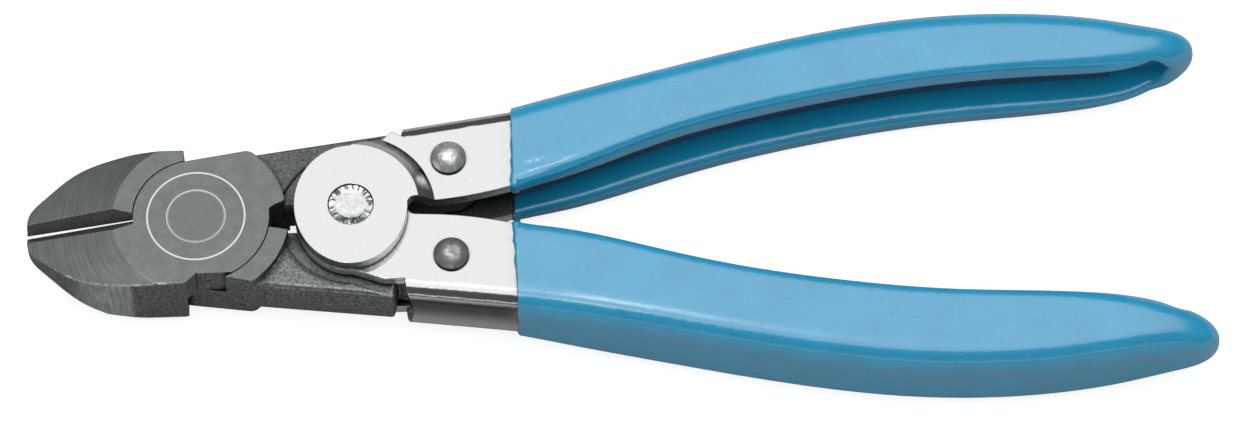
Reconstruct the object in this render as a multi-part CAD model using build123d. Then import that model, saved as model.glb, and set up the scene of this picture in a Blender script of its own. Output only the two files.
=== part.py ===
from build123d import *

import os
from math import atan2, cos, degrees, hypot, radians, sin, sqrt, tan

# Side cutter with lever transmission, millimetres.
# While it is drawn, the joint rivet stands on the origin, +X runs along the tool to the handles,
# +Y is the upper side of the tool and +Z is the front face. place() then sets it on its base.

# Overall
overall_length = 165.0          # blade tips to grip ends, the nominal size of the tool
jaw_reach = 23.8                # joint rivet to the blade tips

# Linkage: joint rivet, handle pivot and the two link rivets form a kite
handle_pivot_x = 21.6           # joint rivet to handle pivot
link_x = 35.35                  # joint rivet to the link rivets, along the tool
link_y = 7.55                   # link rivets off the centre line

# Head, where the two jaws lap
head_thickness = 10.3
lap_gap = 0.1                   # between the two half-thick joint plates
plate_gap = 0.15                # round each joint plate, in the other jaw's pocket
plate_radius = 8.8              # joint plate on the blade side
plate_rear_radius = 10.2        # joint plate on the lever side
plate_foot_y = 8.95             # flat end of the joint plate under its own blade
plate_top_x = -1.3              # where the plate's free edge leaves the round
plate_top_rise = 8.7            # slope of that free edge, degrees
plate_corner_round = 1.6
root_radius = 12.55             # where the plate's face drops to the lever
crescent_radius = 13.0          # outside of the shoulder that wraps the other jaw's plate
crescent_start = 11.5           # where that shoulder ends beside the levers, degrees
crescent_side = (3.6, 9.5)      # front end of the shoulder's outer side
crescent_side_rise = 13.5       # slope of that side, degrees
crescent_round = 0.8
notch_y = 1.35                  # bottom of the notch beside the plate
notch_rise = 0.95               # height of the notch's outer corner above its bottom
notch_depth = 1.75              # how far the notch cuts in from the root radius

# Blades
head_half_width = 10.4
heel_x = -1.8                   # back end of each blade's outer edge
heel_ramp = 1.6                 # length of the step from the heel to the plate's foot
heel_round = 0.8
tip_width = 1.0                 # half width of the blunt tip
edge_gap_closed = 0.05          # left between the cutting edges when the jaws are shut
rest_opening = 0.97             # how far the jaws stand open at rest, degrees
edge_inner_x = -10.95           # a place on the cutting edge near its inner end
edge_inner_z = 3.85             # its height there
edge_fall = 0.272               # fall of the cutting edge towards the tip, per mm
lip_half_width = 1.5            # front groove, half width at its lips
lip_depth = 1.4                 # front groove, lips down to the edge
back_bevel_angle = 31.0         # back bevel from the vertical, degrees
facet_radius = 11.64            # the front facet is a cone about the joint rivet, from here
facet_fall = 0.30               # fall of that cone, per mm
back_facet_x = -13.0            # back facet starts on a line square to the tool
back_facet_angle = 23.5

# Levers
lever_thickness = 6.3
lever_pad_thickness = 7.3       # outer strip, left thicker by the forging
lever_draft = 5.0               # lean of the forged sides from the parting plane, degrees
lever_edge = 0.5                # height of the worn edges
lever_edge_angle = 40.0
lever_start = (7.9, 10.5)       # outer edge of the lever
lever_bend = (14.3, 11.35)
lever_shoulder = (27.4, 13.05)  # stop for the handle's web
lever_shoulder_round = 0.9
lever_neck = (27.9, 10.4)
lever_inner_y = 1.7
lever_eye_radius = 4.55
pad_gap = 0.9                   # between the thicker strip and the handle's cheeks

# Joint rivet
joint_rivet_radius = 3.3
joint_rivet_head_radius = 3.95
joint_rivet_head_height = 1.2
running_clearance = 0.05        # radial, at every turning pin

# Handles, folded from sheet steel
sheet = 1.8
channel_width = 6.9             # inside, between the cheeks
channel_bend_radius = 2.5       # outside radius of the folds
disc_half_length = 7.9          # the round end of a cheek about the handle pivot
disc_half_height = 9.25
neck_top = (26.35, 11.05)       # front end of the cheek's outer edge
lip_x = 28.8                    # front end of the web
lip_y = 13.4                    # outside of the web there
lip_hollow = 1.0                # how far the web's front edge is curved in
slot_length = 1.1               # from the disc to the corner of the cheek's inner edge
slot_corner_y = 0.96
slot_rise = 0.4                 # how far the slot's corner stands above its start at the disc
slot_round = 1.0
throat_run = 3.3                # from that corner to where the cheek's edge starts to rise
throat_y = 1.16
cheek_gap = 0.05                # between the nested cheeks
joggle_start = 9.45             # upper handle's cheeks step out round the lower handle's discs
joggle_run_inside = 1.6
joggle_run_outside = 2.3

# Handle pivot
pivot_rivet_radius = 3.18
pivot_rivet_sunk = 0.15
pivot_rivet_chamfer = 0.15
pivot_rivet_flat_radius = 2.0
pivot_clearance = 0.2           # radial, in the lower handle, which takes up the link's travel
bush_wall = 1.4
bush_end_gap = 0.05
bush_gap = 0.6                  # from the bush to the levers that pass it

# Link rivets
link_rivet_radius = 1.7
link_head_radius = 2.45
link_head_height = 1.83
link_head_rim = 0.45

# Dipped grips
grip_start_x = 44.4
grip_stations = (               # share of the grip's length, inner edge, outer edge, half thickness
    (0.000, 2.45, 16.20, 5.85),
    (0.065, 4.15, 17.55, 6.40),
    (0.150, 6.80, 19.45, 6.75),
    (0.250, 9.95, 21.75, 6.85),
    (0.350, 12.40, 24.00, 6.85),
    (0.450, 14.30, 25.95, 6.85),
    (0.550, 15.80, 27.35, 6.85),
    (0.650, 16.80, 28.00, 6.85),
    (0.750, 17.30, 27.85, 6.85),
    (0.830, 17.55, 27.05, 6.80),
    (0.895, 18.00, 26.15, 6.45),
    (0.937, 18.70, 25.60, 5.60),
    (0.975, 20.05, 24.95, 4.20),
    (0.992, 21.20, 24.20, 2.70),
    (1.000, 22.10, 23.30, 1.00),
)
grip_lean = 0.7                 # the coat's inner side leans: more over the back cheek, less in front
lean_shares = (0.2, 0.75)       # between these shares the lean is full
grip_section_shares = (*[0.94 * i / 12 for i in range(13)], 0.965, 0.985, 1.0)
coat_outer = 1.3                # coat over the web
coat_start = 0.6                # the same at the grip's thin front end
coat_full_share = 0.1           # share of the grip's length where the coat is full
coat_inner = 1.1                # coat over the edges of the cheeks
coat_inside = 0.4               # coat turned in along the inner faces of the cheeks
coat_inside_depth = 2.4
grip_outer_round = 3.3
grip_inner_round = 1.7
even_round_share = (0.75, 0.937)  # between these shares the inner round grows to the outer one's
slot_lip_round = 1.15           # along the mouth of the open slot
steel_end_share = 0.88          # where the steel ends inside the grip, share of its length
grip_slot_share = 0.958         # where the open slot ends

grip_end_x = overall_length - jaw_reach
grip_length = grip_end_x - grip_start_x
half_head = head_thickness / 2
half_channel = channel_width / 2
cheek_outside = half_channel + sheet
disc_inside = cheek_outside + cheek_gap
disc_outside = disc_inside + sheet
bush_radius = pivot_rivet_radius + bush_wall
slot_corner = (handle_pivot_x + disc_half_length + slot_length, slot_corner_y)
throat = (slot_corner[0] + throat_run, throat_y)
reach = overall_length          # a length that is longer than any cut


def polar(radius, angle):
    return (radius * cos(radians(angle)), radius * sin(radians(angle)))


def slab(face, low, high):
    return extrude(Pos(0, 0, low) * face, high - low, dir=(0, 0, 1))


def nearest(items, x, y):
    return sorted(items, key=lambda item: hypot(item.center().X - x, item.center().Y - y))[0]


def at_handle_pivot(item):
    return Pos(handle_pivot_x, 0, 0) * item


def pin_cut(x, y, radius):
    return Pos(x, y, 0) * Cylinder(radius, 4 * head_thickness)


# Jaws

def plate_face():
    """Half-thick joint plate of the lower jaw, seen from the front."""
    top_y = sqrt(plate_radius ** 2 - plate_top_x ** 2)
    far_y = top_y + (crescent_radius - plate_top_x) * tan(radians(plate_top_rise))
    notch_x = root_radius - notch_depth
    root = make_face(Polyline(
        (plate_top_x, 0), (plate_top_x, top_y), (crescent_radius, far_y),
        (crescent_radius, notch_y + notch_rise), (notch_x, notch_y), (notch_x - notch_depth, 0),
        close=True,
    ))
    root = root & Circle(root_radius)
    rear = Circle(plate_rear_radius) & (Pos(reach / 2, (notch_y - plate_foot_y) / 2)
                                       * Rectangle(reach, notch_y + plate_foot_y))
    face = Circle(plate_radius) + root + rear
    face = fillet(nearest(face.vertices(), *polar(root_radius, 50)), plate_corner_round)
    return fillet(nearest(face.vertices(), root_radius, notch_y + notch_rise), notch_rise / 2)


def crescent_face():
    """Shoulder of the upper lever round the other jaw's plate."""
    x, y = crescent_side
    ring = Circle(crescent_radius) - Circle(plate_rear_radius + plate_gap)
    wedge = make_face(Polyline(
        polar(lever_inner_y, crescent_start), polar(reach, crescent_start),
        (reach, y + (reach - x) * tan(radians(crescent_side_rise))), (x, y), (x, lever_inner_y),
        close=True,
    ))
    face = ring & wedge
    return fillet(nearest(face.vertices(), *polar(crescent_radius, 53)), crescent_round)


def lever_face():
    """Upper lever in plan, from the joint plate to the eye on its link rivet."""
    eye = Pos(link_x, link_y) * Circle(lever_eye_radius)
    neck_angle = degrees(atan2(link_y - lever_neck[1], link_x - lever_neck[0]))
    eye_top = (
        link_x - lever_eye_radius * sin(radians(neck_angle + 30)),
        link_y + lever_eye_radius * cos(radians(neck_angle + 30)),
    )
    eye_foot = (link_x, link_y - lever_eye_radius)
    bar = make_face(Polyline(
        (root_radius / 2, lever_inner_y), (root_radius / 2, lever_start[1]), lever_start, lever_bend,
        lever_shoulder, lever_neck, eye_top, (link_x, link_y), eye_foot,
        (handle_pivot_x + disc_half_length / 2, lever_inner_y), close=True,
    ))
    bar = fillet(nearest(bar.vertices(), *lever_shoulder), lever_shoulder_round)
    return bar + eye - at_handle_pivot(Circle(bush_radius + bush_gap))


def lever_pad_face():
    """The strip of the upper lever that lies outside the handles' cheeks."""
    clear = at_handle_pivot(Circle(disc_half_height + pad_gap))
    under_neck = make_face(Polyline(
        (handle_pivot_x, 0), (handle_pivot_x, disc_half_height + pad_gap),
        (neck_top[0], neck_top[1] + pad_gap), (lip_x, neck_top[1] + 2 * pad_gap),
        (link_x + lever_eye_radius, neck_top[1] + 2 * pad_gap),
        (link_x + lever_eye_radius, 0), close=True,
    ))
    beyond = Pos(lip_x - pad_gap + reach / 2, 0) * Rectangle(reach, reach)
    return lever_face() - clear - under_neck - beyond


def drafted(face, thickness):
    """Forged slab, its sides leaning in from the parting plane and its edges worn to a slope."""
    half = extrude(face, thickness / 2 - lever_edge, taper=lever_draft)
    end = sorted(half.faces(), key=lambda side: abs(side.center().Z))[-1]
    half = half + extrude(end, lever_edge, taper=lever_edge_angle)
    return half + mirror(half, Plane.XY)


def jaw_rear():
    """Lower jaw behind its blade: front joint plate and upper lever."""
    room = Circle(plate_rear_radius + plate_gap)
    plate = slab(plate_face(), lap_gap / 2, half_head)
    shoulder = slab(crescent_face(), -half_head, lap_gap / 2)
    lever = drafted(lever_face() - room, lever_thickness)
    pad = drafted(lever_pad_face() - room, lever_pad_thickness)
    return plate + shoulder + lever + pad


def half_head_face():
    """Plan of the lower half of the head, tip to heel, up to the centre line."""
    tip = (-jaw_reach, -tip_width)
    heel = (heel_x, -head_half_width)
    outer = Spline(
        tip, (-21.4, -4.8), (-16.3, -8.4), (-10.8, -9.9), heel,
        tangents=((0, -1), (1, 0)),
    )
    foot_x = heel_x + heel_ramp
    ramp = Polyline(heel, (foot_x, -plate_foot_y), (foot_x, 0), (-jaw_reach, 0), tip)
    face = make_face([outer, ramp])
    return fillet(nearest(face.vertices(), *heel), heel_round)


def blade():
    """Lower blade with the jaws shut: ground facets, front groove and back bevel."""
    body = slab(half_head_face(), -half_head, half_head) & facet_cone()
    fall = tan(radians(back_facet_angle))
    back = Plane(origin=(back_facet_x, 0, -half_head), z_dir=(-fall, 0, -1))
    body = body.split(back, keep=Keep.BOTTOM)
    body = body - groove() - back_groove()
    shut = Plane(origin=(0, -edge_gap_closed / 2, 0), z_dir=(0, 1, 0))
    return body.split(shut, keep=Keep.BOTTOM)


def facet_cone():
    """All that the front grinding leaves: a flat round face with a shallow cone about it."""
    profile = make_face(Polyline(
        (0, -reach), (0, half_head), (facet_radius, half_head),
        (facet_radius + reach, half_head - facet_fall * reach), (facet_radius + reach, -reach),
        close=True,
    ))
    return revolve(Plane.XZ * profile, Axis.Z)


def edge_height(x):
    return edge_inner_z + edge_fall * (x - edge_inner_x)


def groove():
    """Front groove: a V along the falling cutting edge."""
    far = -jaw_reach - 5
    rise = 8.0
    half = rise * lip_half_width / lip_depth
    section = [(0, 0), (half, rise), (-half, rise)]
    ends = []
    for x in (far, 0):
        foot = edge_height(x)
        ends.append(make_face(Polyline(*[(x, y, foot + z) for y, z in section], close=True)))
    return loft(ends)


def back_groove():
    """Back bevels of both blades, one V below the cutting edge."""
    depth = 2 * head_thickness
    half = depth * tan(radians(back_bevel_angle))
    ends = []
    for x in (-jaw_reach - 5, -plate_radius / 2):
        foot = edge_height(x)
        section = [(0, 0), (half, -depth), (-half, -depth)]
        ends.append(make_face(Polyline(*[(x, y, foot + z) for y, z in section], close=True)))
    return loft(ends)


def jaw(rear, head, pocket):
    body = rear + (head - pocket)
    body = body - pin_cut(0, 0, joint_rivet_radius + running_clearance)
    return body


def heel_pocket():
    """Room behind a blade's lap face for the other jaw's plate."""
    behind = Pos(plate_top_x - 2 * plate_gap + reach / 2, 0) * Rectangle(reach, reach)
    return slab(Circle(plate_radius + plate_gap) + behind, -reach, lap_gap / 2)


def lower_jaw():
    rear = jaw_rear() - pin_cut(link_x, link_y, link_rivet_radius + running_clearance)
    head = Rot(0, 0, rest_opening / 2) * blade()
    return jaw(rear, head, heel_pocket()) - countersink(running_clearance)


def upper_jaw():
    rear = jaw_rear() - pin_cut(link_x, link_y, link_rivet_radius + running_clearance)
    head = mirror(Rot(0, 0, rest_opening / 2) * blade(), Plane.XZ)
    over = Rot(180, 0, 0)
    return jaw(over * rear, head, over * heel_pocket()) - over * countersink(0)


# Joint rivet

def countersink(clearance):
    """Conical seat of a rivet head in the front face, on the joint rivet's axis."""
    low = joint_rivet_radius + clearance
    high = joint_rivet_head_radius + clearance
    foot = half_head - joint_rivet_head_height
    profile = make_face(Polyline(
        (0, foot), (low, foot), (high, half_head), (high, reach), (0, reach), close=True,
    ))
    return revolve(Plane.XZ * profile, Axis.Z)


def joint_rivet():
    profile = make_face(Polyline(
        (0, -half_head), (joint_rivet_head_radius, -half_head),
        (joint_rivet_radius, joint_rivet_head_height - half_head),
        (joint_rivet_radius, half_head - joint_rivet_head_height),
        (joint_rivet_head_radius, half_head), (0, half_head), close=True,
    ))
    return revolve(Plane.XZ * profile, Axis.Z)


# Handles

def grip_slopes(i):
    """Slopes of the grip's outline at a station, from the stations on both sides."""
    before = grip_stations[max(i - 1, 0)]
    after = grip_stations[min(i + 1, len(grip_stations) - 1)]
    return [(high - low) / (after[0] - before[0]) for low, high in zip(before[1:], after[1:])]


def grip_outline(share):
    """Inner edge, outer edge and half thickness of a grip at a share of its length."""
    i = max(k for k in range(len(grip_stations) - 1) if grip_stations[k][0] <= share)
    before, after = grip_stations[i], grip_stations[i + 1]
    width = after[0] - before[0]
    u = (share - before[0]) / width
    values = []
    for p, q, m, n in zip(before[1:], after[1:], grip_slopes(i), grip_slopes(i + 1)):
        ends = p + (q - p) * u * u * (3 - 2 * u)
        values.append(ends + width * u * (1 - u) * (m * (1 - u) - n * u))
    return values


def steel_points(side):
    """Points of the steel's inner (0) or outer (1) edge, from the front to its end in the grip."""
    points = [throat, (lip_x, lip_y)][side:side + 1]
    shares = [row[0] for row in grip_stations if coat_full_share < row[0] < steel_end_share]
    for share in [0, *shares, steel_end_share]:
        coats = (coat_start, coat_start) if share == 0 else (coat_inner, coat_outer)
        surface = grip_outline(share)[side]
        inward = coats[side] if side == 0 else -coats[side]
        points.append((grip_start_x + share * grip_length, surface + inward))
    return [Vector(*point) for point in points]


def moved_in(points, inset):
    """The outer edge's points, moved square to it into the steel."""
    moved = []
    for i, point in enumerate(points):
        along = (points[min(i + 1, len(points) - 1)] - points[max(i - 1, 0)]).normalized()
        moved.append(point + Vector(along.Y, -along.X) * inset)
    moved[0] = Vector(points[0].X, moved[0].Y)
    return moved


def channel_plan():
    """Plan of the upper handle from the web's lip to the end of the steel."""
    inner = steel_points(0)
    outer = steel_points(1)
    return make_face([
        Spline(*outer), Line(outer[-1], inner[-1]), Spline(*inner),
        Polyline(inner[0], slot_corner, (slot_corner[0], lip_y / 2), outer[0]),
    ])


def handle_plan():
    """Plan of the upper handle: round disc at the pivot, neck and channel."""
    disc = at_handle_pivot(Ellipse(disc_half_length, disc_half_height))
    slot_start = (handle_pivot_x + disc_half_length / 2, slot_corner[1] - slot_rise)
    neck = make_face(Polyline(
        (handle_pivot_x, disc_half_height), neck_top, (lip_x, lip_y), throat, slot_corner,
        slot_start, (handle_pivot_x, 0), close=True,
    ))
    plan = channel_plan() + disc + neck
    corner = nearest(plan.vertices(), handle_pivot_x + disc_half_length, slot_start[1])
    return fillet(corner, slot_round)


def outer_edges(solid, height):
    """The two long edges of a handle on its outer side."""
    level = [edge for edge in solid.edges() if abs(abs(edge.center().Z) - height) < 0.01]
    longest = sorted(level, key=lambda edge: edge.length)[-4:]
    return sorted(longest, key=lambda edge: edge.center().Y)[-2:]


def handle_block():
    block = slab(handle_plan(), -cheek_outside, cheek_outside)
    return fillet(outer_edges(block, cheek_outside), channel_bend_radius)


def handle_hollow():
    """Space between the cheeks: all that the web leaves open, in front, inside and at the end."""
    edge = moved_in(steel_points(1), sheet)
    past_slot = (grip_slot_share - steel_end_share) * grip_length + channel_width
    tail = edge[-1] + (edge[-1] - edge[-2]).normalized() * past_slot
    plan = make_face([
        Spline(*edge), Polyline(edge[-1], tail, (tail.X, -reach), (-reach, -reach), (-reach, reach),
                                (edge[0].X, reach), edge[0]),
    ])
    return slab(plan, -half_channel, half_channel)


def lip_cut():
    """Curved front edge of the web."""
    radius = (cheek_outside ** 2 + lip_hollow ** 2) / (2 * lip_hollow)
    round_cut = Pos(lip_x + lip_hollow - radius, lip_y, 0) * Rot(90, 0, 0) * Cylinder(radius, 4 * sheet)
    above = Pos(lip_x, lip_y, 0) * Box(2 * radius, 2 * channel_bend_radius, 2 * cheek_outside)
    return round_cut & above


def joggled_cheeks():
    """Upper handle's cheeks round the pivot, stepped out over the lower handle's discs."""
    rim = joggle_start + joggle_run_outside + sheet
    profile = make_face(Polyline(
        (0, disc_inside), (joggle_start, disc_inside),
        (joggle_start + joggle_run_inside, half_channel), (rim, half_channel),
        (rim, cheek_outside), (joggle_start + joggle_run_outside, cheek_outside),
        (joggle_start, disc_outside), (0, disc_outside), close=True,
    ))
    dish = at_handle_pivot(revolve(Plane.XZ * profile, Axis.Z))
    front = dish & slab(handle_plan(), 0, reach)
    return front + mirror(front, Plane.XY)


def handle(joggled):
    """Upper handle; the lower one is its mirror image without the joggle."""
    body = handle_block() - handle_hollow() - lip_cut()
    if joggled:
        rim = joggle_start + joggle_run_outside + sheet / 2
        body = body - at_handle_pivot(Cylinder(rim, reach)) + joggled_cheeks()
    body = body - pin_cut(handle_pivot_x, 0, pivot_rivet_radius + (0 if joggled else pivot_clearance))
    return body - pin_cut(link_x, link_y, link_rivet_radius)


# Pivot and rivets

def pivot_rivet():
    """Rivet of the handle pivot, its ends dished a little below the discs."""
    end = disc_outside - pivot_rivet_sunk
    flat = end - pivot_rivet_sunk
    rim = pivot_rivet_radius - pivot_rivet_chamfer
    half = make_face(Polyline(
        (0, 0), (pivot_rivet_radius, 0), (pivot_rivet_radius, end - pivot_rivet_chamfer),
        (rim, end), (pivot_rivet_flat_radius, flat), (0, flat), close=True,
    ))
    upper = revolve(Plane.XZ * half, Axis.Z)
    return at_handle_pivot(upper + mirror(upper, Plane.XY))


def pivot_bush():
    half = half_channel - bush_end_gap
    return at_handle_pivot(slab(Circle(bush_radius) - Circle(pivot_rivet_radius), -half, half))


def link_rivet():
    """Rivet of the upper link, with a domed head on each cheek."""
    rim = cheek_outside + link_head_rim
    top = cheek_outside + link_head_height
    rise = top - rim
    ball = (link_head_radius ** 2 + rise ** 2) / (2 * rise)
    half_turn = atan2(link_head_radius, ball - rise) / 2
    dome = ThreePointArc(
        (link_head_radius, rim),
        (ball * sin(half_turn), top - ball + ball * cos(half_turn)), (0, top),
    )
    half = make_face([
        Polyline((0, top), (0, 0), (link_rivet_radius, 0), (link_rivet_radius, cheek_outside),
                 (link_head_radius, cheek_outside), (link_head_radius, rim)),
        dome,
    ])
    upper = revolve(Plane.XZ * half, Axis.Z)
    return Pos(link_x, link_y, 0) * (upper + mirror(upper, Plane.XY))


# Grips

def grip_section(share):
    """Rounded section of a grip across the tool, one closed curve."""
    low, high, half = grip_outline(share)
    start, end = even_round_share
    growth = max(0, min(1, (share - start) / (end - start)))
    lean = grip_lean * min(1, share / lean_shares[0], (1 - share) / (1 - lean_shares[1]))
    limit = 0.48 * min(high - low - lean, 2 * half)
    outer = min(grip_outer_round, limit)
    inner = min(grip_inner_round + growth * (grip_outer_round - grip_inner_round), limit)
    quarters = (
        (high - outer, half - outer, outer, 0), (low + lean + inner, half - inner, inner, 90),
        (low - lean + inner, inner - half, inner, 180), (high - outer, outer - half, outer, 270),
    )
    points = []
    for y, z, radius, angle in quarters:
        turn = [polar(radius, angle + 22.5 * k) for k in range(5)]
        points.append([Vector(y + dy, z + dz) for dy, dz in turn])
    curve = []
    for arc, following in zip(points, points[1:] + points[:1]):
        flat = following[0] - arc[-1]
        curve += [*arc, arc[-1] + flat / 3, arc[-1] + flat * 2 / 3]
    plane = Plane(origin=(grip_start_x + share * grip_length, 0, 0), x_dir=(0, 1, 0), z_dir=(1, 0, 0))
    return plane * make_face(Spline(*curve, periodic=True))


def grip_slot():
    """Open inside of a grip: the coat turns in a little way along the cheeks."""
    low = [Vector(point.X, point.Y + coat_inside_depth) for point in steel_points(0)[1:]]
    deep = make_face([
        Spline(*low),
        Polyline(low[-1], (low[-1].X, reach), (0, reach), (0, low[0].Y), low[0]),
    ])
    slot_end_x = grip_start_x + grip_slot_share * grip_length
    mouth_half = half_channel - coat_inside
    straight = Pos(slot_end_x - mouth_half - reach / 2, 0, 0) * Box(reach, 2 * reach, 2 * mouth_half)
    end = Pos(slot_end_x - mouth_half, 0, 0) * Rot(90, 0, 0) * Cylinder(mouth_half, 2 * reach)
    return handle_hollow() & (slab(deep, -half_channel, half_channel) + (straight + end))


def grip():
    body = loft([grip_section(share) for share in grip_section_shares])
    body = body - handle(False) - grip_slot()
    mouth_half = half_channel - coat_inside
    sides = [edge for edge in body.edges()
             if abs(abs(edge.center().Z) - mouth_half) < 0.01 and edge.length > grip_length / 2]
    mouth = sorted(sides, key=lambda edge: edge.center().Y)[:2]
    return fillet(mouth, slot_lip_round)


def place(item):
    """Set the part on its base, with the middle of its length over the origin."""
    base = max(disc_outside, cheek_outside + link_head_height)
    return Pos(jaw_reach - overall_length / 2, 0, base) * item


def build():
    """Every piece by its name; the lower grip is the upper one turned over."""
    upper_link_rivet = link_rivet()
    upper_grip = grip()
    return {
        "jaw_upper": upper_jaw(),
        "jaw_lower": lower_jaw(),
        "joint_rivet": joint_rivet(),
        "handle_upper": handle(True),
        "handle_lower": mirror(handle(False), Plane.XZ),
        "pivot_rivet": pivot_rivet(),
        "pivot_bush": pivot_bush(),
        "link_rivet_upper": upper_link_rivet,
        "link_rivet_lower": mirror(upper_link_rivet, Plane.XZ),
        "grip_upper": upper_grip,
        "grip_lower": Rot(180, 0, 0) * upper_grip,
    }


def main():
    os.makedirs("parts", exist_ok=True)
    for name, item in build().items():
        solids = item.solids()
        shape = solids[0] if len(solids) == 1 else Compound(children=solids)
        export_step(place(shape), f"parts/{name}.step")
        print(name, len(solids), round(shape.volume, 1))


main()
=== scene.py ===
# %% [markdown]
# # A side cutter with lever transmission
# The tool lies on its back on a pale table. Two forged jaws lap at a flush rivet, two folded and
# plated sheet handles work them through a short linkage, and each handle ends in a blue dipped
# grip. The solids come from model.glb, and this script gives them their surfaces and light.
# The only new pieces are the ragged front edges of the dipped coats.

import bmesh
import bpy
from math import cos, pi, radians, sin, tan
from mathutils import Matrix, Vector, noise


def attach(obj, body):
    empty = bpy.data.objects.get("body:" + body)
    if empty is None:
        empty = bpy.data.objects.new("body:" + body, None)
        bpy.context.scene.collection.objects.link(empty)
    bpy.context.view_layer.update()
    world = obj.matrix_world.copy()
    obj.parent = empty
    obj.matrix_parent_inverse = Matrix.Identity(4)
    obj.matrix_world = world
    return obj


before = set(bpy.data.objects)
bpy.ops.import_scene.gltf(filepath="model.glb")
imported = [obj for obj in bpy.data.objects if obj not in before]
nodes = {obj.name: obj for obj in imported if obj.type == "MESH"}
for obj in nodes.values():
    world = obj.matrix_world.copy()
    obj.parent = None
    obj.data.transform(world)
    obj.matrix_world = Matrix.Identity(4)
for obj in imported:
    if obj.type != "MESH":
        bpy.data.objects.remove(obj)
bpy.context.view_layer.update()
scene = bpy.context.scene
MM = 0.001
print("nodes", sorted(nodes))

# %% [markdown]
# The script works in metres and the tool is drawn in millimetres, so MM stands beside every size.
# The places below are the ones that patterns are centred on: the joint rivet, the handle pivot and
# the middle plane, half the tool's thickness above the table.

# %% Places on the tool
joint_x = -58.7 * MM
pivot_x = -37.1 * MM
middle_z = 7.1 * MM
print("joint rivet to handle pivot", round((pivot_x - joint_x) / MM, 1), "mm")


# %% [markdown]
# ## The camera
# The photograph looks down on the tool from its lower side, 27.5 degrees off the vertical, with
# the tool turned 2.4 degrees in the picture. A long lens from 0.9 m keeps it nearly free of
# perspective. The camera aims at the point of the middle plane that lies in the picture's centre.

# %% Camera
camera_tilt = radians(27.535)
camera_turn = radians(2.381)
camera_aim = Vector((1.262 * MM, -0.124 * MM, middle_z))
camera_distance = 0.9052
sensor_width = 36
focal_length = 185.77


def make_camera():
    up_the_picture = Vector((sin(camera_turn), cos(camera_turn), 0))
    across = Vector((cos(camera_turn), -sin(camera_turn), 0))
    away = Vector((0, 0, 1)) * cos(camera_tilt) - up_the_picture * sin(camera_tilt)
    data = bpy.data.cameras.new("camera")
    data.sensor_width = sensor_width
    data.lens = focal_length
    data.clip_end = 10
    camera = bpy.data.objects.new("camera", data)
    axes = Matrix((across, away.cross(across), away)).transposed().to_4x4()
    camera.matrix_world = Matrix.Translation(camera_aim + away * camera_distance) @ axes
    scene.collection.objects.link(camera)
    scene.camera = camera
    return camera


camera = make_camera()
print("camera at", [round(v, 4) for v in camera.matrix_world.translation])


# %% [markdown]
# ## Helpers for materials
# A material is a graph of nodes, and most of its code is the joining of sockets. These helpers
# take a number or another node's output for each socket, so that a mask reads like a formula.

# %% Node helpers
def opaque(colour):
    """The four numbers of a colour for its socket. Another node's output passes through."""
    return (*colour, 1) if isinstance(colour, tuple) else colour


def fill(tree, node, inputs):
    """Set each socket, or join it to the output that is given for it."""
    for key, value in inputs.items():
        if isinstance(value, bpy.types.NodeSocket):
            tree.links.new(value, node.inputs[key])
        else:
            node.inputs[key].default_value = value
    return node


def add_node(tree, kind, inputs=None, **settings):
    node = tree.nodes.new("ShaderNode" + kind)
    for name, value in settings.items():
        setattr(node, name, value)
    return fill(tree, node, inputs or {})


def calculate(tree, operation, first, second=0.0, clamp=False):
    node = add_node(tree, "Math", {0: first, 1: second}, operation=operation, use_clamp=clamp)
    return node.outputs[0]


def grey(tree, value):
    return add_node(tree, "CombineColor", {0: value, 1: value, 2: value}).outputs[0]


def combine(tree, x, y, z=0.0):
    return add_node(tree, "CombineXYZ", {0: x, 1: y, 2: z}).outputs[0]


# %% Masks and mixtures
def fade(tree, value, start, end, low=0.0, high=1.0):
    """Smooth change from low to high while the value goes from start to end."""
    inputs = {"Value": value, "From Min": start, "From Max": end, "To Min": low, "To Max": high}
    return add_node(tree, "MapRange", inputs, interpolation_type="SMOOTHSTEP").outputs[0]


def all_of(tree, *masks):
    """The mask that holds where every one of these holds."""
    share = masks[0]
    for mask in masks[1:]:
        share = calculate(tree, "MULTIPLY", share, mask)
    return share


def outside(tree, mask):
    return calculate(tree, "SUBTRACT", 1.0, mask)


def mix_colour(tree, share, first, second):
    """The first colour where the share is 0 and the second where it is 1."""
    inputs = {0: share, 6: opaque(first), 7: opaque(second)}
    return add_node(tree, "Mix", inputs, data_type="RGBA").outputs[2]


def mix_value(tree, share, first, second):
    return add_node(tree, "Mix", {0: share, 2: first, 3: second}, data_type="FLOAT").outputs[0]


def layer_values(tree, value, zones, layers):
    """Lay each zone's own value over the one that was there, in the order of the layers."""
    for name, layer in layers.items():
        value = mix_value(tree, zones[name], value, layer)
    return value


def shade_by(tree, colour, value, low, high):
    """A colour made darker or lighter by a value between 0 and 1."""
    factor = grey(tree, fade(tree, value, 0.0, 1.0, low, high))
    inputs = {0: 1.0, 6: opaque(colour), 7: factor}
    return add_node(tree, "Mix", inputs, data_type="RGBA", blend_type="MULTIPLY").outputs[2]


# %% Materials and groups
def new_material(name, colour, roughness, metallic=0.0):
    surface = bpy.data.materials.new(name)
    surface.use_nodes = True
    shader = surface.node_tree.nodes["Principled BSDF"]
    fill(surface.node_tree, shader, {
        "Base Color": opaque(colour), "Roughness": roughness, "Metallic": metallic,
    })
    return surface, surface.node_tree, shader


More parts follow.
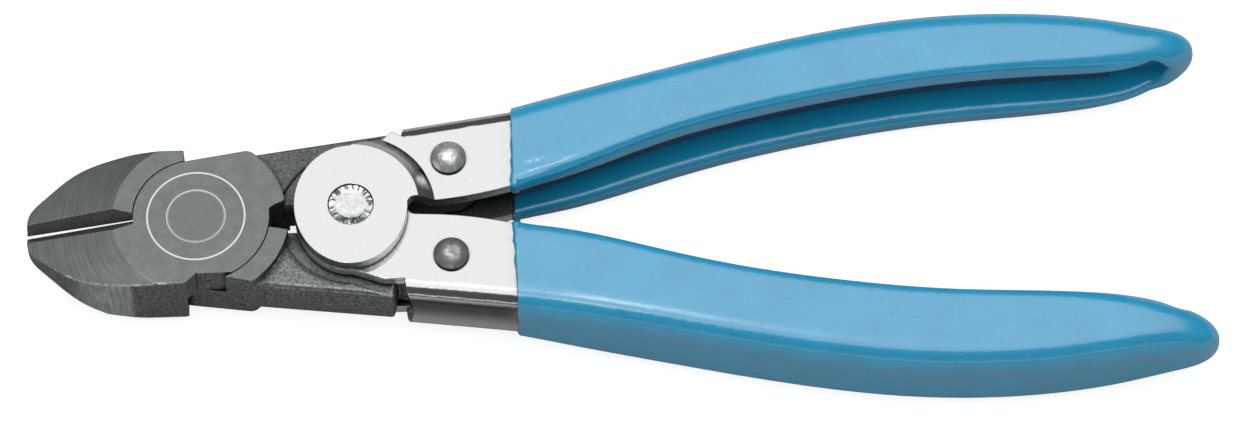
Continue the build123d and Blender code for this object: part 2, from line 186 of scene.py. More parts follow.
def new_group(name, inputs, outputs):
    """An empty shader group with its named sockets: the group, its start's outputs and its end."""
    group = bpy.data.node_groups.new(name, "ShaderNodeTree")
    for label, kind, value in inputs:
        socket = group.interface.new_socket(label, in_out="INPUT", socket_type="NodeSocket" + kind)
        socket.default_value = value
    for label, kind in outputs:
        group.interface.new_socket(label, in_out="OUTPUT", socket_type="NodeSocket" + kind)
    start = group.nodes.new("NodeGroupInput")
    end = group.nodes.new("NodeGroupOutput")
    return group, start.outputs, end


def use_group(tree, group, inputs):
    node = tree.nodes.new("ShaderNodeGroup")
    node.node_tree = group
    return fill(tree, node, inputs).outputs


def dress(names, surface):
    for name in names:
        mesh = nodes[name].data
        mesh.materials.clear()
        mesh.materials.append(surface)
    print(surface.name, len(surface.node_tree.nodes), "nodes, on", names)


# %% [markdown]
# ## Light
# Plated steel shows its surroundings, so the light is built for the reflections. One large lamp
# could light the tool, but with separate panels each reflection can be put where it belongs. The
# soft box hangs over the tool, from 26 degrees on the camera's side to 43 degrees behind it. The
# flat faces mirror it towards the camera, and every fold that looks beyond its ends goes dark, as
# in the photograph. A short bright tube draws the highlight along the front of the grips. A strip
# on the camera's side, near the horizon, draws the thin light line along the lower folds. A small
# lamp to the left puts the spark on the rivet heads.

# %% Panels
panel_distance = 0.9


def panel_height(first, last):
    """Height of a panel that spans these angles from the vertical."""
    return 2 * panel_distance * tan(radians(last - first) / 2)


# Name, degrees from the vertical, width, height, radiance, and how far it stands aside
panels = (
    ("soft_box", 8.5, 1.5, panel_height(-26, 43), 1.42, 0.0),
    ("strip", -78, 1.2, panel_height(-81, -75), 1.1, 0.0),
    ("tube", 5, 0.2, 0.02, 34, -0.12),
    ("small_lamp", -24, 0.06, 0.06, 20, -0.25),
)


def make_panel(name, from_vertical, width, height, radiance, aside):
    """Area light on an arc over the tool: positive angles lie behind it, away from the camera."""
    angle = radians(from_vertical)
    place = Vector((0, sin(angle), cos(angle))) * panel_distance + Vector((aside, 0, 0))
    data = bpy.data.lights.new(name, "AREA")
    data.shape = "RECTANGLE"
    data.size = width
    data.size_y = height
    data.energy = radiance * pi * width * height
    panel = bpy.data.objects.new(name, data)
    towards_tool = place.to_track_quat("Z", "Y").to_matrix().to_4x4()
    panel.matrix_world = Matrix.Translation(place) @ towards_tool
    scene.collection.objects.link(panel)
    return panel


for panel in panels:
    make_panel(*panel)
print("lights", [light.name for light in bpy.data.lights])


# %% [markdown]
# The photograph has a white ground. A sheet of paper under stronger lamps would be as white, but
# its light would flood the undersides of the tool. So the table is a grey sheet that glows for the
# camera alone. What the rays that make reflections see of the world is dark, and what the scattered
# ones see is pale, which fills the shadows as a white studio does.

# %% Table and world
table_half_width = 1.5
table_glow = 0.84
table_grey = (0.3, 0.45)            # to the scattered rays, and to those that make reflections
world_strength = (0.55, 0.12)       # to the same two
world_colour = (0.95, 0.98, 1.0)


def make_table():
    mesh = bpy.data.meshes.new("table")
    shape = bmesh.new()
    bmesh.ops.create_grid(shape, x_segments=1, y_segments=1, size=table_half_width)
    shape.to_mesh(mesh)
    shape.free()
    table = bpy.data.objects.new("table", mesh)
    scene.collection.objects.link(table)
    surface, tree, shader = new_material("table_white", (0.5, 0.5, 0.5), 0.9)
    ray = add_node(tree, "LightPath").outputs
    fill(tree, shader, {
        "Base Color": grey(tree, mix_value(tree, ray["Is Glossy Ray"], *table_grey)),
        "Specular IOR Level": 0.0,
        "Emission Color": (1, 1, 1, 1),
        "Emission Strength": calculate(tree, "MULTIPLY", ray["Is Camera Ray"], table_glow),
    })
    mesh.materials.append(surface)
    return table


def make_world():
    world = bpy.data.worlds.new("studio")
    scene.world = world
    world.use_nodes = True
    tree = world.node_tree
    ray = add_node(tree, "LightPath").outputs
    strength = mix_value(tree, ray["Is Glossy Ray"], *world_strength)
    fill(tree, tree.nodes["Background"], {"Color": opaque(world_colour), "Strength": strength})
    return world


scene.view_settings.view_transform = "Standard"
print("table", make_table().name, "and world", make_world().name)


# %% [markdown]
# ## Shared surface effects
# Ground steel, plating and plastic differ in colour, but some effects are the same on all of them:
# a fine grain, edges worn along a ragged line, tool marks drawn out in one direction, engraved
# rings, and painted shade in inner corners. Each could be drawn again in every material. As a
# shader group with named sockets it is built once and placed with its own values.

# %% Group: fine grain
def make_grain():
    """Noise about 0.5 whose grain size is given in millimetres."""
    group, start, end = new_group("fine_grain", [
        ("Position", "Vector", (0, 0, 0)), ("Size mm", "Float", 1.0), ("Detail", "Float", 3.0),
        ("Contrast", "Float", 1.0),
    ], [("Value", "Float")])
    speckle = add_node(group, "TexNoise", {
        "Vector": start["Position"], "Scale": calculate(group, "DIVIDE", 1 / MM, start["Size mm"]),
        "Detail": start["Detail"], "Roughness": 0.6,
    }).outputs["Fac"]
    off_middle = calculate(group, "SUBTRACT", speckle, 0.5)
    spread = calculate(group, "MULTIPLY", off_middle, start["Contrast"])
    fill(group, end, {"Value": calculate(group, "ADD", spread, 0.5)})
    return group


fine_grain = make_grain()
print("group", fine_grain.name, len(fine_grain.nodes), "nodes")


# %% Group: worn edges
line_fades = (0.997, 0.93)          # agreement of the sharp and the rounded normal
chip_size, chip_contrast = 0.45, 3.0


def make_worn_edges():
    """A ragged line along the edges, and the normal of the same surface with its edges rounded."""
    group, start, end = new_group("worn_edges", [
        ("Position", "Vector", (0, 0, 0)), ("Width mm", "Float", 0.3), ("Raggedness", "Float", 1.0),
    ], [("Edge", "Float"), ("Rounded Normal", "Vector")])
    width = calculate(group, "MULTIPLY", start["Width mm"], MM)
    rounded = add_node(group, "Bevel", {"Radius": width}, samples=6).outputs[0]
    sharp = add_node(group, "NewGeometry").outputs["Normal"]
    agreement = add_node(group, "VectorMath", {0: rounded, 1: sharp}, operation="DOT_PRODUCT")
    line = fade(group, agreement.outputs["Value"], *line_fades)
    chips = use_group(group, fine_grain, {
        "Position": start["Position"], "Size mm": chip_size, "Contrast": chip_contrast,
    })["Value"]
    ragged = calculate(group, "MAXIMUM", chips, 0.0, True)
    kept = mix_value(group, start["Raggedness"], 1.0, ragged)
    edge = calculate(group, "MULTIPLY", line, kept, True)
    fill(group, end, {"Edge": edge, "Rounded Normal": rounded})
    return group


worn_edges = make_worn_edges()
print("group", worn_edges.name, len(worn_edges.nodes), "nodes")


# %% Group: tool marks
def make_tool_marks():
    """Fine lines that run along X of the position that comes in: a value about 0.5."""
    group, start, end = new_group("tool_marks", [
        ("Position", "Vector", (0, 0, 0)), ("Spacing mm", "Float", 0.2),
        ("Length mm", "Float", 6.0),
    ], [("Value", "Float")])
    along = calculate(group, "DIVIDE", 1 / MM, start["Length mm"])
    across = calculate(group, "DIVIDE", 1 / MM, start["Spacing mm"])
    stretch = combine(group, along, across, across)
    place = add_node(group, "VectorMath", {0: start["Position"], 1: stretch}, operation="MULTIPLY")
    lines = add_node(group, "TexNoise", {
        "Vector": place.outputs[0], "Scale": 1.0, "Detail": 2.0, "Roughness": 0.65,
    }).outputs["Fac"]
    fill(group, end, {"Value": lines})
    return group


tool_marks = make_tool_marks()
print("group", tool_marks.name, len(tool_marks.nodes), "nodes")


# %% Group: engraved ring
ring_core, ring_end = 0.6, 1.4      # shares of the half width: fully white, and gone


def make_engraved_ring():
    """A thin circle about an axis, from the distance to that axis."""
    group, start, end = new_group("engraved_ring", [
        ("Distance", "Float", 0.0), ("Radius mm", "Float", 5.0), ("Width mm", "Float", 0.2),
    ], [("Line", "Float")])
    radius = calculate(group, "MULTIPLY", start["Radius mm"], MM)
    off = calculate(group, "ABSOLUTE", calculate(group, "SUBTRACT", start["Distance"], radius))
    half = calculate(group, "MULTIPLY", start["Width mm"], MM / 2)
    inner = calculate(group, "MULTIPLY", half, ring_core)
    outer = calculate(group, "MULTIPLY", half, ring_end)
    fill(group, end, {"Line": fade(group, off, outer, inner)})
    return group


engraved_ring = make_engraved_ring()
print("group", engraved_ring.name, len(engraved_ring.nodes), "nodes")


# %% Group: painted corner shade
corner_fades = (0.35, 0.92)         # open share of the surroundings: darkest, and untouched


def make_corner_shade():
    """Painted shade in inner corners, darker where little of the surroundings is open: 1 on open
    surfaces.
    """
    group, start, end = new_group("corner_shade", [
        ("Width mm", "Float", 1.0), ("Darkness", "Float", 0.6),
    ], [("Value", "Float")])
    width = calculate(group, "MULTIPLY", start["Width mm"], MM)
    open_share = add_node(group, "AmbientOcclusion", {"Distance": width}, samples=8).outputs["AO"]
    shade = fade(group, open_share, *corner_fades)
    lowest = calculate(group, "SUBTRACT", 1.0, start["Darkness"])
    fill(group, end, {"Value": mix_value(group, shade, lowest, 1.0)})
    return group


corner_shade = make_corner_shade()
print("group", corner_shade.name, len(corner_shade.nodes), "nodes")


# %% Helpers: places on a surface
def about_point(tree, x, z):
    """Object coordinates measured from an axis of the tool, their parts, and the distance to it.

    The last one is how far a face looks up or down: 1 when it is level and 0 on a side wall.
    """
    place = add_node(tree, "TexCoord").outputs
    centred = add_node(tree, "Mapping", {
        "Vector": place["Object"], "Location": (-x, 0, -z),
    }).outputs[0]
    parts = add_node(tree, "SeparateXYZ", {0: centred}).outputs
    flat = combine(tree, parts[0], parts[1])
    distance = add_node(tree, "VectorMath", {0: flat}, operation="LENGTH").outputs["Value"]
    upwards = add_node(tree, "SeparateXYZ", {0: place["Normal"]}).outputs[2]
    return centred, tuple(parts), distance, calculate(tree, "ABSOLUTE", upwards)


def round_the_axis(tree, parts, radius):
    """How far a point has gone round the axis, as a length on a circle of this radius."""
    turn = calculate(tree, "ARCTAN2", parts[1], parts[0])
    return calculate(tree, "MULTIPLY", turn, radius)


# %% Helpers: the shared effects in use
def grain(tree, place, size, contrast=1.0, detail=3.0):
    return use_group(tree, fine_grain, {
        "Position": place, "Size mm": size, "Contrast": contrast, "Detail": detail,
    })["Value"]


def marks(tree, place, spacing, length):
    return use_group(tree, tool_marks, {
        "Position": place, "Spacing mm": spacing, "Length mm": length,
    })["Value"]


def edges(tree, place, width, raggedness=0.0):
    return use_group(tree, worn_edges, {
        "Position": place, "Width mm": width, "Raggedness": raggedness,
    })


# Painted shade: the colour darkened in inner corners, where little light comes in.
def paint_corner_shade(tree, colour, width, darkness):
    corners = use_group(tree, corner_shade, {"Width mm": width, "Darkness": darkness})["Value"]
    return shade_by(tree, colour, corners, 0.0, 1.0)


def raise_surface(tree, shader, height, depth, normal=None):
    """Bump of a real depth in metres."""
    inputs = {"Height": height, "Distance": depth, "Strength": 1.0}
    if normal is not None:
        inputs["Normal"] = normal
    fill(tree, shader, {"Normal": add_node(tree, "Bump", inputs).outputs[0]})


# %% [markdown]
# ## Blackened forgings
# Each jaw is one forging, because blade, joint plate and lever are one piece of steel. It could be
# cut into objects with a material each, but then a seam would show where the steel runs on. So it
# has one material, and masks choose the zone: the way the face looks, the distance from the joint
# and the height over the middle plane. The flats of the joint are ground smooth, the front facets
# show the wheel's lines round the joint and carry painted shade on the upper side, and the side
# walls are milled, with painted shade towards the tip, and rough towards the heel. The levers keep
# the skin of the forging, with painted light on the lower one. Inner corners get painted shade, and
# the edges carry a bright ragged line, partly bare steel where they are chipped and partly a
# painted highlight.

# %% The engraved rings of the joint
ring_radii = (4.02, 6.79)
ring_width = 0.24
ring_face = (0.98, 0.995)
line_white = (0.62, 0.64, 0.63)


def add_rings(tree, distance, facing):
    """Both engraved circles of the joint, on the faces that look up or down."""
    lines = [use_group(tree, engraved_ring, {
        "Distance": distance, "Radius mm": radius, "Width mm": ring_width,
    })["Line"] for radius in ring_radii]
    either = calculate(tree, "MAXIMUM", lines[0], lines[1])
    return all_of(tree, either, fade(tree, facing, *ring_face))


# %% Zones of a forging
# How level a face is where a zone starts, and where it is full
flat_face = (0.965, 0.985)
ground_face = (0.90, 0.94)
sloped_face = (0.35, 0.5)
lever_wall_face = (0.6, 0.4)
# The same two for places, from the joint rivet
lever_x = (6 * MM, 8 * MM)
lever_height = (4.6 * MM, 4.2 * MM)
tip_wall_shade_x = (-20 * MM, -13 * MM)
heel_wall_x = (-9.6 * MM, -8.8 * MM)
upper_facet_shade_y = (2 * MM, 10 * MM)
lower_lever_light_y = (-3 * MM, -7 * MM)
lower_edge_y = (-5 * MM, -7 * MM)
chipped_blade_x = (-2 * MM, -4 * MM)
chipped_lever_x = (9 * MM, 12 * MM)
facet_circle = 16 * MM              # round which the wheel's lines keep their length


def forged_zones(tree, parts, facing):
    """Masks for the ways the steel was worked, and for the outer edges that have chipped."""
    x, y, z = parts
    thin = fade(tree, calculate(tree, "ABSOLUTE", z), *lever_height)
    lower_edge = fade(tree, y, *lower_edge_y)
    blade_edge = all_of(tree, lower_edge, fade(tree, x, *chipped_blade_x))
    lever_edge = all_of(tree, lower_edge, fade(tree, x, *chipped_lever_x, 0.0, 0.7))
    return {
        "flat": fade(tree, facing, *flat_face),
        "ground": fade(tree, facing, *ground_face),
        "sloped": fade(tree, facing, *sloped_face),
        "lever": all_of(tree, fade(tree, x, *lever_x), thin),
        "chipped": calculate(tree, "MAXIMUM", blade_edge, lever_edge),
    }


def forged_patterns(tree, place, parts, distance):
    """What the tools left: lines of the wheel and of the cutter, grain, clouds and forging skin."""
    x, y, z = parts
    round_place = combine(tree, round_the_axis(tree, parts, facet_circle), distance, z)
    upright_place = combine(tree, z, x, y)
    return {
        "wheel": marks(tree, round_place, 0.16, 9.0),
        "mill": marks(tree, upright_place, 0.3, 4.0),
        "fine": grain(tree, place, 0.16, 1.6),
        "cloud": grain(tree, place, 2.6, 1.5),
        "skin": grain(tree, place, 0.4, 1.7, 5.0),
    }


# %% Tones of a forging
milled_tone = (0.37, 0.395, 0.39)
rough_tone = (0.15, 0.157, 0.15)
groove_tone = (0.12, 0.122, 0.117)
facet_tone = (0.18, 0.196, 0.19)
upper_facet_shade_tone = (0.12, 0.13, 0.127)
flat_tone = (0.165, 0.182, 0.178)
lever_tone = (0.118, 0.128, 0.125)
chip_and_highlight_tone = (0.85, 0.87, 0.86)


def forged_tone(tree, parts, facing, zones, patterns):
    """The zones' tones, laid over one another from the side walls to the levers."""
    x, y, _ = parts
    rough = shade_by(tree, rough_tone, patterns["skin"], 0.2, 1.8)
    wall = shade_by(tree, milled_tone, patterns["mill"], 0.4, 1.6)
    # Painted shade: the side walls darker towards the tip.
    wall = shade_by(tree, wall, fade(tree, x, *tip_wall_shade_x), 0.36, 1.0)
    wall = mix_colour(tree, fade(tree, x, *heel_wall_x), wall, rough)
    groove = shade_by(tree, groove_tone, patterns["fine"], 0.4, 1.6)
    facet = shade_by(tree, facet_tone, patterns["wheel"], 0.6, 1.4)
    # Painted shade: the facets darker on the upper side of the joint.
    facet = mix_colour(tree, fade(tree, y, *upper_facet_shade_y, 0.0, 0.35), facet, upper_facet_shade_tone)
    flat = shade_by(tree, flat_tone, patterns["fine"], 0.72, 1.28)
    lever = shade_by(tree, lever_tone, patterns["skin"], 0.4, 1.6)
    # Painted light: the lower lever lighter than the upper one.
    lever = shade_by(tree, lever, fade(tree, y, *lower_lever_light_y), 1.0, 1.7)
    lever = mix_colour(tree, fade(tree, facing, *lever_wall_face), lever, rough)
    tone = mix_colour(tree, zones["sloped"], wall, groove)
    tone = mix_colour(tree, zones["ground"], tone, facet)
    tone = mix_colour(tree, zones["flat"], tone, flat)
    tone = mix_colour(tree, zones["lever"], tone, lever)
    tone = shade_by(tree, tone, patterns["cloud"], 0.88, 1.12)
    # Painted shade in the inner corners of the jaws.
    return paint_corner_shade(tree, tone, 1.7, 0.9)


# %% Blackened steel of the jaws
# The bright line along the edges is partly bare steel and partly a painted highlight.
edge_width = (0.22, 0.6)            # millimetres, where the edge is sound and where it has chipped
chip_and_highlight_share = (0.3, 1.0)             # how much bare steel shows at the same two
wall_roughness = 0.58
zone_roughness = {"ground": 0.5, "flat": 0.44, "lever": 0.52, "chip_and_highlight": 0.3}
skin_height = 5.0                   # of the forging skin, against the lines of the tools
marks_depth = 0.006 * MM


def make_forged_steel():
    surface, tree, shader = new_material("forged_steel", (0.1, 0.11, 0.11), 0.45, 0.9)
    place, parts, distance, facing = about_point(tree, joint_x, middle_z)
    zones = forged_zones(tree, parts, facing)
    patterns = forged_patterns(tree, place, parts, distance)
    wear = edges(tree, place, mix_value(tree, zones["chipped"], *edge_width), 1.0)
    # Painted highlight mixed with bare steel along the worn edges.
    zones["chip_and_highlight"] = all_of(tree, wear["Edge"], mix_value(tree, zones["chipped"], *chip_and_highlight_share))

    tone = forged_tone(tree, parts, facing, zones, patterns)
    # Painted highlight and bare steel: a pale line that stays bright under any light.
    tone = mix_colour(tree, zones["chip_and_highlight"], tone, chip_and_highlight_tone)
    tone = mix_colour(tree, add_rings(tree, distance, facing), tone, line_white)
    height = layer_values(tree, patterns["mill"], zones, {
        "ground": patterns["wheel"],
        "flat": patterns["fine"],
        "lever": calculate(tree, "MULTIPLY", patterns["skin"], skin_height),
    })
    fill(tree, shader, {
        "Base Color": tone,
        "Roughness": layer_values(tree, wall_roughness, zones, zone_roughness),
        "Metallic": mix_value(tree, zones["chip_and_highlight"], 0.9, 0.15),
    })
    raise_surface(tree, shader, height, marks_depth, wear["Rounded Normal"])
    return surface


dress(["jaw_upper", "jaw_lower"], make_forged_steel())


# %% [markdown]
# The joint rivet is ground together with the jaws, so its face has the same satin grey. The jaws'
# material would fit it too, but its zones are measured for the jaws, and the rivet needs one of
# them only. The engraved circle shows where it lies.

# %% Flush rivet of the joint
rivet_tone = (0.16, 0.177, 0.172)


def make_flush_rivet():
    surface, tree, shader = new_material("flush_rivet", (0.15, 0.17, 0.17), 0.44, 0.9)
    place, _, distance, facing = about_point(tree, joint_x, middle_z)
    fine = grain(tree, place, 0.16, 1.6)
    tone = shade_by(tree, rivet_tone, fine, 0.72, 1.28)
    tone = mix_colour(tree, add_rings(tree, distance, facing), tone, line_white)
    fill(tree, shader, {"Base Color": tone})
    raise_surface(tree, shader, fine, marks_depth)
    return surface


dress(["joint_rivet"], make_flush_rivet())


# %% [markdown]
# ## Plated sheet
# The handles are punched and folded from sheet and then plated. A plain mirror would be simpler,
# but it would look like glass: what shows the metal are its folds, a slight waviness of the
# reflections and the punched edges, which are rougher and keep lines along the sheet. The cut edges
# carry painted shade on their outer part, a painted highlight on their inner part and painted light
# towards the grips. The folded outer wall has a painted reflection, dark below the fold and lighter
# towards its foot. The step round the discs is streaked and carries painted shade, the insides of
# the cheeks are dull and carry painted shade, and next to the grips the plating has a warm stain.
# Inside the grips the dip has run over the steel, so it is slate blue there.

# %% Zones of the sheet
# How level a face is where a zone starts, and where it is full
level_face = (0.25, 0.5)
fold_face = (0.99, 0.94)
fold_end_face = (0.3, 0.6)
step_face = (0.985, 0.95)
inside_face = (0.5, 0.6)
# The same two for places, from the handle pivot
web_y = (9.6 * MM, 10.4 * MM)
web_x = (7.0 * MM, 7.4 * MM)
inner_rim_height = (5.3 * MM, 5.2 * MM)
step_radius = (10.2 * MM, 10.8 * MM)
step_height = (5.3 * MM, 5.4 * MM)
step_shadow_y = (2.5 * MM, 5 * MM)
inside_height = (3.6 * MM, 3.5 * MM)
stain_x = (20.6 * MM, 22.6 * MM)
dipped_x = (23.0 * MM, 23.2 * MM)


def sheet_zones(tree, place, parts, distance, facing):
    """Masks for the cut rims, the folded web, the folds, the step, the insides and the dip."""
    x, y, z = parts
    height = calculate(tree, "ABSOLUTE", z)
    upright = outside(tree, fade(tree, facing, *level_face))
    far_out = fade(tree, calculate(tree, "ABSOLUTE", y), *web_y)
    on_web = all_of(tree, far_out, fade(tree, x, *web_x))
    step = all_of(tree, fade(tree, distance, *step_radius), fade(tree, facing, *step_face),
                  fade(tree, height, *step_height))
    within = fade(tree, height, *inside_height)
    return {
        "cut": all_of(tree, upright, outside(tree, on_web)),
        "web": all_of(tree, upright, on_web),
        "fold": all_of(tree, fade(tree, facing, *fold_face), fade(tree, facing, *fold_end_face)),
        "inner_rim": fade(tree, height, *inner_rim_height),
        "step": all_of(tree, step, fade(tree, y, *step_shadow_y, 0.25, 0.9)),
        "inside": all_of(tree, within, fade(tree, facing, *inside_face)),
        "stain": all_of(tree, fade(tree, x, *stain_x), grain(tree, place, 1.2, 2.0)),
        "dipped": fade(tree, x, *dipped_x),
    }


# %% Tones of the sheet
plated_tone = (0.545, 0.546, 0.55)
web_tone = (0.5, 0.5, 0.49)
outer_rim_shade_tone = (0.2, 0.23, 0.23)
inner_rim_highlight_tone = (1.0, 1.0, 1.0)
rear_rim_light_tone = (0.8, 0.82, 0.82)
stain_tone = (0.5, 0.4, 0.31)
stain_strength = 0.35
step_shade_tone = (0.19, 0.2, 0.2)
inside_shade_tone = (0.2, 0.21, 0.2)
dip_run_tone = (0.1, 0.19, 0.33)
rear_rim_light_x = (-1 * MM, 6 * MM)
web_light_z = (3.2 * MM, -4.6 * MM)


def sheet_tone(tree, parts, zones, punched, fine):
    """The zones' tones, laid over one another from the faces to the run of the dip."""
    x, _, z = parts
    # Painted shade along the outer part of the cut edges, and a painted highlight along the inner
    # part.
    rim = mix_colour(tree, zones["inner_rim"], outer_rim_shade_tone, inner_rim_highlight_tone)
    # Painted light: the cut edges lighter towards the grips.
    rim = mix_colour(tree, fade(tree, x, *rear_rim_light_x), rim, rear_rim_light_tone)
    # Painted reflection: the folded web darker under the fold and lighter towards its foot.
    web = shade_by(tree, web_tone, fade(tree, z, *web_light_z), 0.12, 1.15)
    web = shade_by(tree, web, fine, 0.8, 1.2)
    step = shade_by(tree, step_shade_tone, punched, 0.2, 1.8)
    inside = shade_by(tree, inside_shade_tone, fine, 0.4, 1.6)
    stain = calculate(tree, "MULTIPLY", zones["stain"], stain_strength, True)
    tone = shade_by(tree, plated_tone, fine, 0.96, 1.04)
    tone = mix_colour(tree, zones["cut"], tone, shade_by(tree, rim, punched, 0.1, 1.7))
    tone = mix_colour(tree, zones["web"], tone, web)
    tone = mix_colour(tree, stain, tone, stain_tone)
    # Painted shade on the step round the discs, stronger on the upper side and streaked by the
    # punched lines.
    tone = mix_colour(tree, zones["step"], tone, step)
    # Painted shade on the insides of the cheeks, which are also dull.
    tone = mix_colour(tree, zones["inside"], tone, inside)
    # Painted shade in the inner corners of the sheet, round the rivet heads and next to the discs.
    tone = paint_corner_shade(tree, tone, 0.9, 0.85)
    return mix_colour(tree, zones["dipped"], tone, dip_run_tone)


# %% Plated sheet of the handles
face_roughness = 0.09
sheet_roughness = {"fold": 0.12, "cut": 0.3, "web": 0.2, "inside": 0.5, "dipped": 0.45}
wave_height, fold_height = 14.0, 1.2        # against the lines of the punched edges
sheet_relief = 0.004 * MM


def make_plated_sheet():
    surface, tree, shader = new_material("plated_sheet", (0.55, 0.56, 0.565), 0.1, 1.0)
    place, parts, distance, facing = about_point(tree, pivot_x, middle_z)
    zones = sheet_zones(tree, place, parts, distance, facing)
    punched = marks(tree, place, 0.32, 9.0)
    fine = grain(tree, place, 0.2, 2.0)
    wave = calculate(tree, "MULTIPLY", grain(tree, place, 7.0, 1.0, 0.0), wave_height)
    on_fold = all_of(tree, zones["fold"], calculate(tree, "MULTIPLY", fine, fold_height))
    height = calculate(tree, "ADD", wave, all_of(tree, zones["cut"], punched))
    height = calculate(tree, "ADD", height, on_fold)
    fill(tree, shader, {
        "Base Color": sheet_tone(tree, parts, zones, punched, fine),
        "Roughness": layer_values(tree, face_roughness, zones, sheet_roughness),
        "Metallic": outside(tree, zones["dipped"]),
    })
    raise_surface(tree, shader, height, sheet_relief, edges(tree, place, 0.18)["Rounded Normal"])
    return surface


dress(["handle_upper", "handle_lower"], make_plated_sheet())


# %% [markdown]
# ## Rivet heads
# The heads were closed by a punch after plating, so they are greyer than the sheet, blotchy and a
# little dented. The dents could be pressed into the mesh. They are shallower than a tenth of a
# millimetre, so a bump shows them as well, and the CAD shape stays as it is.

# %% Punched rivet heads
head_tone = (0.8, 0.81, 0.81)
head_relief = 0.05 * MM
head_edge = 0.2


def make_rivet_steel():
    surface, tree, shader = new_material("rivet_steel", (0.4, 0.41, 0.41), 0.3, 1.0)
    place, (_, y, _), _, facing = about_point(tree, pivot_x, middle_z)
    blotch = grain(tree, place, 0.9, 2.2, 4.0)
    dents = grain(tree, place, 0.7, 1.5, 1.0)
    tone = shade_by(tree, head_tone, blotch, 0.5, 1.2)
    # Painted shade: the heads on the lower side darker than the upper one.
    tone = shade_by(tree, tone, fade(tree, y, -2 * MM, 2 * MM), 0.68, 1.05)
    # Painted shade on the steep sides of the heads, which shows as a dark ring below them.
    tone = shade_by(tree, tone, fade(tree, facing, 0.3, 0.66), 0.12, 1.0)
    fill(tree, shader, {
        "Base Color": tone, "Roughness": fade(tree, blotch, 0.2, 0.8, 0.58, 0.4),
    })
    normal = edges(tree, place, head_edge)["Rounded Normal"]
    raise_surface(tree, shader, dents, head_relief, normal)
    return surface


dress(["pivot_bush", "link_rivet_upper", "link_rivet_lower"], make_rivet_steel())


# %% [markdown]
# The pivot rivet is dished by the punch. Its middle stays bright, and the rim was pressed out in
# short strokes that run towards the axis, so the pattern is laid in turns about that axis.

# %% Peened pivot rivet
dish_tone = (0.56, 0.565, 0.57)
stroke_tone = (0.6, 0.62, 0.62)
lower_dark_tone = (0.1, 0.12, 0.12)
rim_radius = (1.9 * MM, 2.5 * MM)
lower_dark_y = (-1.2 * MM, -2.2 * MM)
stroke_circle = 3 * MM              # round which the strokes keep their spacing


def make_peened_steel():
    surface, tree, shader = new_material("peened_steel", (0.8, 0.81, 0.81), 0.25, 1.0)
    place, parts, distance, _ = about_point(tree, pivot_x, middle_z)
    arc = round_the_axis(tree, parts, stroke_circle)
    strokes = marks(tree, combine(tree, distance, arc, parts[2]), 0.3, 1.6)
    blotch = grain(tree, place, 0.7, 2.2, 4.0)
    rim = fade(tree, distance, *rim_radius)
    pressed = shade_by(tree, stroke_tone, fade(tree, strokes, 0.42, 0.56), 0.12, 1.25)
    tone = mix_colour(tree, rim, shade_by(tree, dish_tone, blotch, 0.8, 1.1), pressed)
    # Darker in blotches towards the lower side of the rivet.
    lower_dark = all_of(tree, fade(tree, parts[1], *lower_dark_y), fade(tree, blotch, 0.35, 0.6), 0.85)
    tone = mix_colour(tree, lower_dark, tone, lower_dark_tone)
    fill(tree, shader, {"Base Color": tone, "Roughness": mix_value(tree, rim, 0.13, 0.3)})
    height = mix_value(tree, rim, calculate(tree, "MULTIPLY", blotch, 0.12), strokes)
    normal = edges(tree, place, head_edge)["Rounded Normal"]
    raise_surface(tree, shader, height, head_relief, normal)
    return surface


dress(["pivot_rivet"], make_peened_steel())


# %% [markdown]
# ## Dipped grips
# The grips are made by dipping the hot handles in liquid plastic. One even blue would look like
# paint, so the coat has a satin gloss with a fine orange peel, and it is a clear blue that turns
# pale where it mirrors the soft box.

# %% Blue dip
dip_blue = (0.008, 0.275, 0.48)
dip_roughness = (0.18, 0.27)
peel_depth = 0.0022 * MM


def make_blue_dip():
    surface, tree, shader = new_material("blue_dip", dip_blue, 0.42)
    place, _, _, _ = about_point(tree, pivot_x, middle_z)
    fine = grain(tree, place, 0.28, 1.1)
    cloud = grain(tree, place, 6.0, 1.6)
    tone = shade_by(tree, dip_blue, cloud, 0.9, 1.04)
    tone = shade_by(tree, tone, fine, 0.8, 1.2)
    fill(tree, shader, {
        "Base Color": tone, "Roughness": fade(tree, fine, 0.0, 1.0, *dip_roughness),
        "Specular IOR Level": 1.0, "IOR": 1.6,
    })
    raise_surface(tree, shader, fine, peel_depth)
    return surface


blue_dip = make_blue_dip()
dress(["grip_upper", "grip_lower"], blue_dip)

# %% [markdown]
# When a handle is drawn out of the bath, the coat ends in an uneven line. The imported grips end
# square, so a thin ribbon of the same plastic goes on round the sheet from under each front edge.
# It could be sculpted, but a flat grid laid round the folded section is exact: its columns follow
# the section, its rows run forwards, and a Solidify modifier gives it a thickness that fades with
# them.

# %% Section of the folded sheet
front_x = -14.3 * MM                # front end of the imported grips
sheet_half, fold_radius, sheet_edge = 5.22 * MM, 2.5 * MM, 1.8 * MM
edge_round = 0.25 * MM
cut_step, cut_steps = 0.3 * MM, 4   # along the cut edge, and round its corner
flat_steps, fold_steps, web_steps = 44, 12, 10


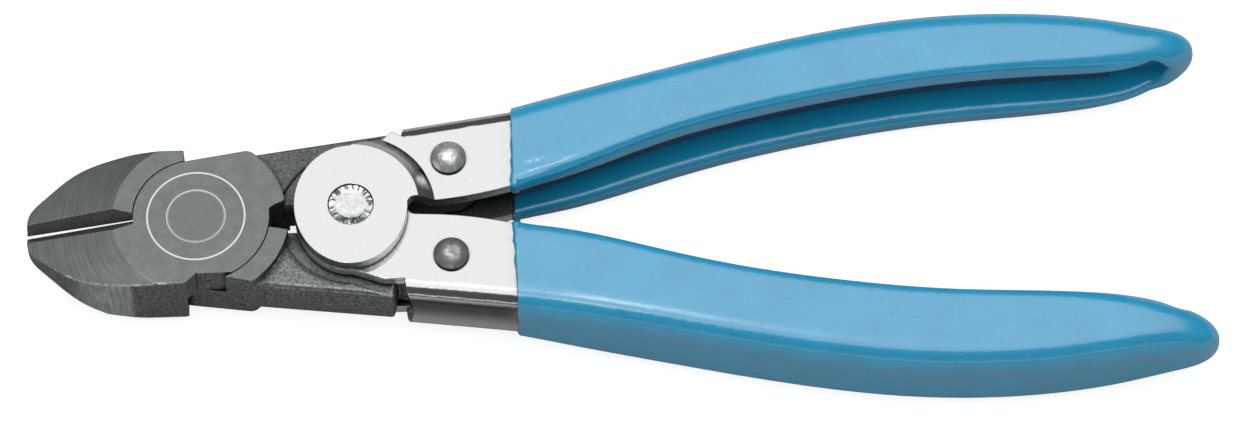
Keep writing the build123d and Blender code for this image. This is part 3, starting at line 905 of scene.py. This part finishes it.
def channel_section():
    """Stations round the folded sheet: the side they are measured from, how far, and the height."""
    foot = sheet_half - sheet_edge
    stations = [("inner", 0.0, foot + k * cut_step) for k in range(cut_steps + 1)]
    for k in range(cut_steps + 1):
        angle = pi * (1 - k / (2 * cut_steps))
        height = sheet_half - edge_round * (1 - sin(angle))
        stations.append(("inner", edge_round * (1 + cos(angle)), height))
    stations += [("flat", k / flat_steps, sheet_half) for k in range(2, flat_steps)]
    for k in range(fold_steps + 1):
        angle = pi / 2 * (1 - k / fold_steps)
        height = sheet_half - fold_radius * (1 - sin(angle))
        stations.append(("outer", fold_radius * (cos(angle) - 1), height))
    web_height = sheet_half - fold_radius
    stations += [("outer", 0.0, web_height * (1 - k / web_steps)) for k in range(1, web_steps + 1)]
    return stations + [(kind, along, -height) for kind, along, height in reversed(stations[:-1])]


print("section", len(channel_section()), "stations")


# %% Lie of the ribbon on the sheet
inner_side_y, inner_slope = 3.08 * MM, 0.27         # the sheet's sides at the front of the grips
outer_side_y, outer_slope = 15.57 * MM, 0.216
covered = 0.6 * MM                  # of the ribbon, under the grip
reach_inside, reach_loss, reach_wave, least_reach = 0.5, 0.36, 0.22, 0.05
# Share of the ribbon's length and share of its thickness, row by row
ribbon_rows = ((0.0, 1.0), (0.5, 0.96), (0.75, 0.8), (0.9, 0.52), (0.97, 0.3), (1.0, 0.08))


def uneven_line(number, seed):
    """Long and short waves of the coat's front line."""
    long_wave = noise.noise(Vector((number * 0.13, seed, 0.0)))
    return long_wave + 0.6 * noise.noise(Vector((number * 0.37, seed, 5.0)))


def place_on_sheet(station, number, reach, side, seed):
    """Where a point of the ribbon lies. The coat reaches further forwards on the inner side."""
    kind, along, height = station
    across_share = along if kind == "flat" else float(kind == "outer")
    ahead = reach_inside - reach_loss * across_share + reach_wave * uneven_line(number, seed)
    from_front = covered - reach * (covered + max(ahead, least_reach) * MM)
    inner_side = inner_side_y + inner_slope * from_front
    outer_side = outer_side_y + outer_slope * from_front
    across = {
        "inner": inner_side + along,
        "flat": inner_side + along * (outer_side - fold_radius - inner_side),
        "outer": outer_side + along,
    }[kind]
    return Vector((front_x + from_front, side * across, middle_z + height))


# %% Ragged front edges of the coats
coat_thickness = 0.53 * MM


def ribbon_mesh(name, side, seed):
    """The grid laid round the section, with its outside outwards, and each point's thickness."""
    stations = channel_section()
    columns, rows = len(stations) - 1, len(ribbon_rows) - 1
    shape = bmesh.new()
    bmesh.ops.create_grid(shape, x_segments=columns, y_segments=rows, size=1)
    shares = []
    for vert in shape.verts:
        number = round((vert.co.x + 1) / 2 * columns)
        reach, share = ribbon_rows[round((vert.co.y + 1) / 2 * rows)]
        vert.co = place_on_sheet(stations[number], number, reach, side, seed)
        shares.append(share)
    shape.normal_update()
    on_web = max(shape.faces, key=lambda face: abs(face.calc_center_median().y))
    if on_web.normal.y * side < 0:
        bmesh.ops.reverse_faces(shape, faces=shape.faces)
    for face in shape.faces:
        face.smooth = True
    mesh = bpy.data.meshes.new(name)
    shape.to_mesh(mesh)
    shape.free()
    return mesh, shares


def make_dip_edge(name, body, side, seed):
    """Ribbon of dipped plastic on the upper handle (side 1) or on the lower one (side -1)."""
    mesh, shares = ribbon_mesh(name, side, seed)
    mesh.materials.append(blue_dip)
    piece = bpy.data.objects.new(name, mesh)
    scene.collection.objects.link(piece)
    coat = piece.vertex_groups.new(name="coat")
    for index, share in enumerate(shares):
        coat.add([index], share, "REPLACE")
    wall = piece.modifiers.new("coat", "SOLIDIFY")
    wall.thickness = coat_thickness
    wall.offset = 1
    wall.vertex_group = "coat"
    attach(piece, body)
    furthest = front_x - min(vert.co.x for vert in mesh.vertices)
    print(name, len(mesh.polygons), "faces, reaches", round(furthest / MM, 2), "mm forwards")
    return piece


make_dip_edge("dip_edge_upper", "upper_handle", 1, 2.3)
make_dip_edge("dip_edge_lower", "lower_handle", -1, 7.9)
